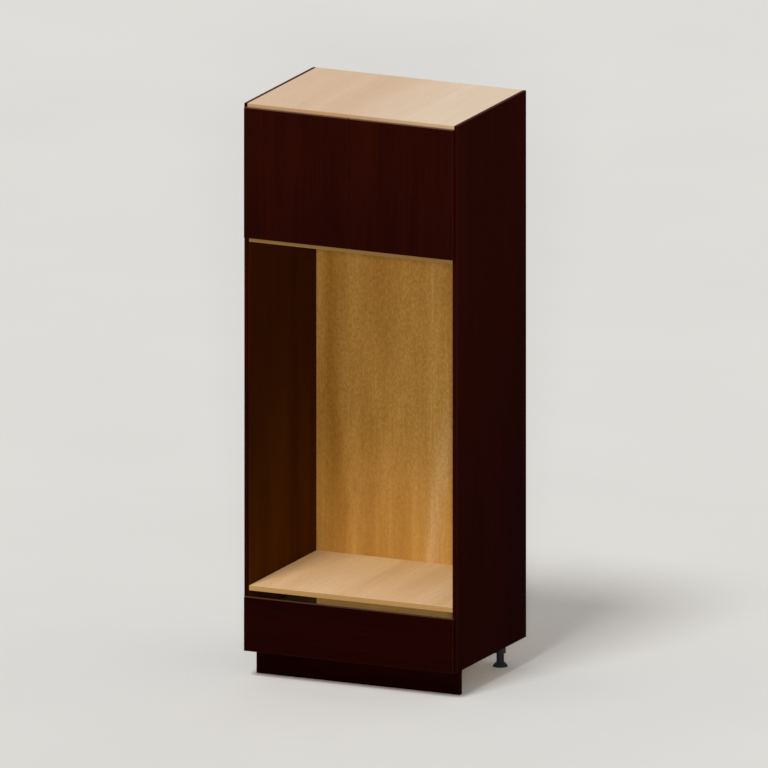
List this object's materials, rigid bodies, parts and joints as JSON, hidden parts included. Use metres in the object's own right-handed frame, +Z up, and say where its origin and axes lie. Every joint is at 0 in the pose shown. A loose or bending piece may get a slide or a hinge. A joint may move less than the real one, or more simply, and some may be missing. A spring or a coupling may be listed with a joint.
{
  "type": "open-front pantry cabinet",
  "caption": "Tall frameless pantry cabinet with a two-door cupboard over an open bay and a drawer, dark wood outside and pale wood inside.",
  "frame": {"origin": "middle of the whole cabinet's footprint, on the floor", "axes": "+Z up, front towards -Y, +X to the right as seen from the front"},
  "size_m": [0.8382, 0.6116, 2.112],
  "materials": {
    "dark_veneer": "satin",
    "pale_veneer": "satin",
    "beech": "matte",
    "dark_painted_steel": "satin",
    "zinc_steel": "satin",
    "nickel": "polished",
    "black_plastic": "matte",
    "grey_plastic": "matte",
    "clear_rubber": "matte"
  },
  "bodies": {
    "carcass": {"back_panel": "pale_veneer", "back_screws": "zinc_steel", "bottom_panel": "pale_veneer", "cam_bolts": "zinc_steel", "cams": "zinc_steel", "cupboard_floor": "pale_veneer", "dowels": "beech", "fitting_screws": "zinc_steel", "hanging_rail": "pale_veneer", "hinge_arm_left_lower": "nickel", "hinge_arm_left_upper": "nickel", "hinge_arm_right_lower": "nickel", "hinge_arm_right_upper": "nickel", "hinge_plate_left_lower": "nickel", "hinge_plate_left_upper": "nickel", "hinge_plate_right_lower": "nickel", "hinge_plate_right_upper": "nickel", "latch_housing_left": "grey_plastic", "latch_housing_right": "grey_plastic", "leg_socket_back_left": "black_plastic", "leg_socket_back_right": "black_plastic", "leg_socket_front_left": "black_plastic", "leg_socket_front_right": "black_plastic", "niche_shelf": "pale_veneer", "plinth_board": "dark_veneer", "plinth_clips": "black_plastic", "runner_cabinet_left": "zinc_steel", "runner_cabinet_right": "zinc_steel", "side_panel_left": "dark_veneer", "side_panel_right": "dark_veneer", "top_panel": "pale_veneer"},
    "drawer": {"drawer_back": "pale_veneer", "drawer_base": "pale_veneer", "drawer_brackets": "zinc_steel", "drawer_bumpers": "clear_rubber", "drawer_front": "dark_veneer", "drawer_screws": "zinc_steel", "drawer_side_left": "dark_painted_steel", "drawer_side_right": "dark_painted_steel", "runner_drawer_left": "zinc_steel", "runner_drawer_right": "zinc_steel"},
    "runner_middles": {"runner_middle_left": "zinc_steel", "runner_middle_right": "zinc_steel"},
    "door_left": {"door_left": "dark_veneer", "hinge_pins_left": "nickel", "strike_plate_left": "zinc_steel", "hinge_cup_left_lower": "nickel", "hinge_cup_left_upper": "nickel"},
    "plunger_left": {"latch_plunger_left": "grey_plastic"},
    "foot_front_left": {"levelling_foot_front_left": "black_plastic"},
    "foot_back_left": {"levelling_foot_back_left": "black_plastic"},
    "door_right": {"door_right": "dark_veneer", "hinge_pins_right": "nickel", "strike_plate_right": "zinc_steel", "hinge_cup_right_lower": "nickel", "hinge_cup_right_upper": "nickel"},
    "plunger_right": {"latch_plunger_right": "grey_plastic"},
    "foot_front_right": {"levelling_foot_front_right": "black_plastic"},
    "foot_back_right": {"levelling_foot_back_right": "black_plastic"}
  },
  "joints": [
    {"name": "door_left_hinge", "type": "hinge", "parent": "carcass", "child": "door_left", "pos_m": [-0.4041, -0.29675, 1.86], "axis": [0, 0, -1], "range_deg": [0, 100]},
    {"name": "door_right_hinge", "type": "hinge", "parent": "carcass", "child": "door_right", "pos_m": [0.4041, -0.29675, 1.86], "axis": [0, 0, 1], "range_deg": [0, 100]},
    {"name": "drawer_slide", "type": "slide", "parent": "carcass", "child": "drawer", "axis": [0, -1, 0], "range_m": [0, 0.48]},
    {"name": "runner_middle_slide", "type": "slide", "parent": "carcass", "child": "runner_middles", "axis": [0, -1, 0], "range_m": [0, 0.24]},
    {"name": "plunger_left_press", "type": "slide", "parent": "carcass", "child": "plunger_left", "axis": [0, 1, 0], "range_m": [0, 0.003], "stiffness_N_per_m": 400, "springref_m": -0.005},
    {"name": "plunger_right_press", "type": "slide", "parent": "carcass", "child": "plunger_right", "axis": [0, 1, 0], "range_m": [0, 0.003], "stiffness_N_per_m": 400, "springref_m": -0.005},
    {"name": "foot_front_left_turn", "type": "hinge", "parent": "carcass", "child": "foot_front_left", "pos_m": [-0.3491, -0.16375, 0], "axis": [0, 0, 1], "continuous": true},
    {"name": "foot_front_right_turn", "type": "hinge", "parent": "carcass", "child": "foot_front_right", "pos_m": [0.3491, -0.16375, 0], "axis": [0, 0, 1], "continuous": true},
    {"name": "foot_back_left_turn", "type": "hinge", "parent": "carcass", "child": "foot_back_left", "pos_m": [-0.3491, 0.23575, 0], "axis": [0, 0, 1], "continuous": true},
    {"name": "foot_back_right_turn", "type": "hinge", "parent": "carcass", "child": "foot_back_right", "pos_m": [0.3491, 0.23575, 0], "axis": [0, 0, 1], "continuous": true}
  ],
  "couplings": [
    {"joint": "runner_middle_slide", "follows": "drawer_slide", "ratio": 0.5}
  ]
}
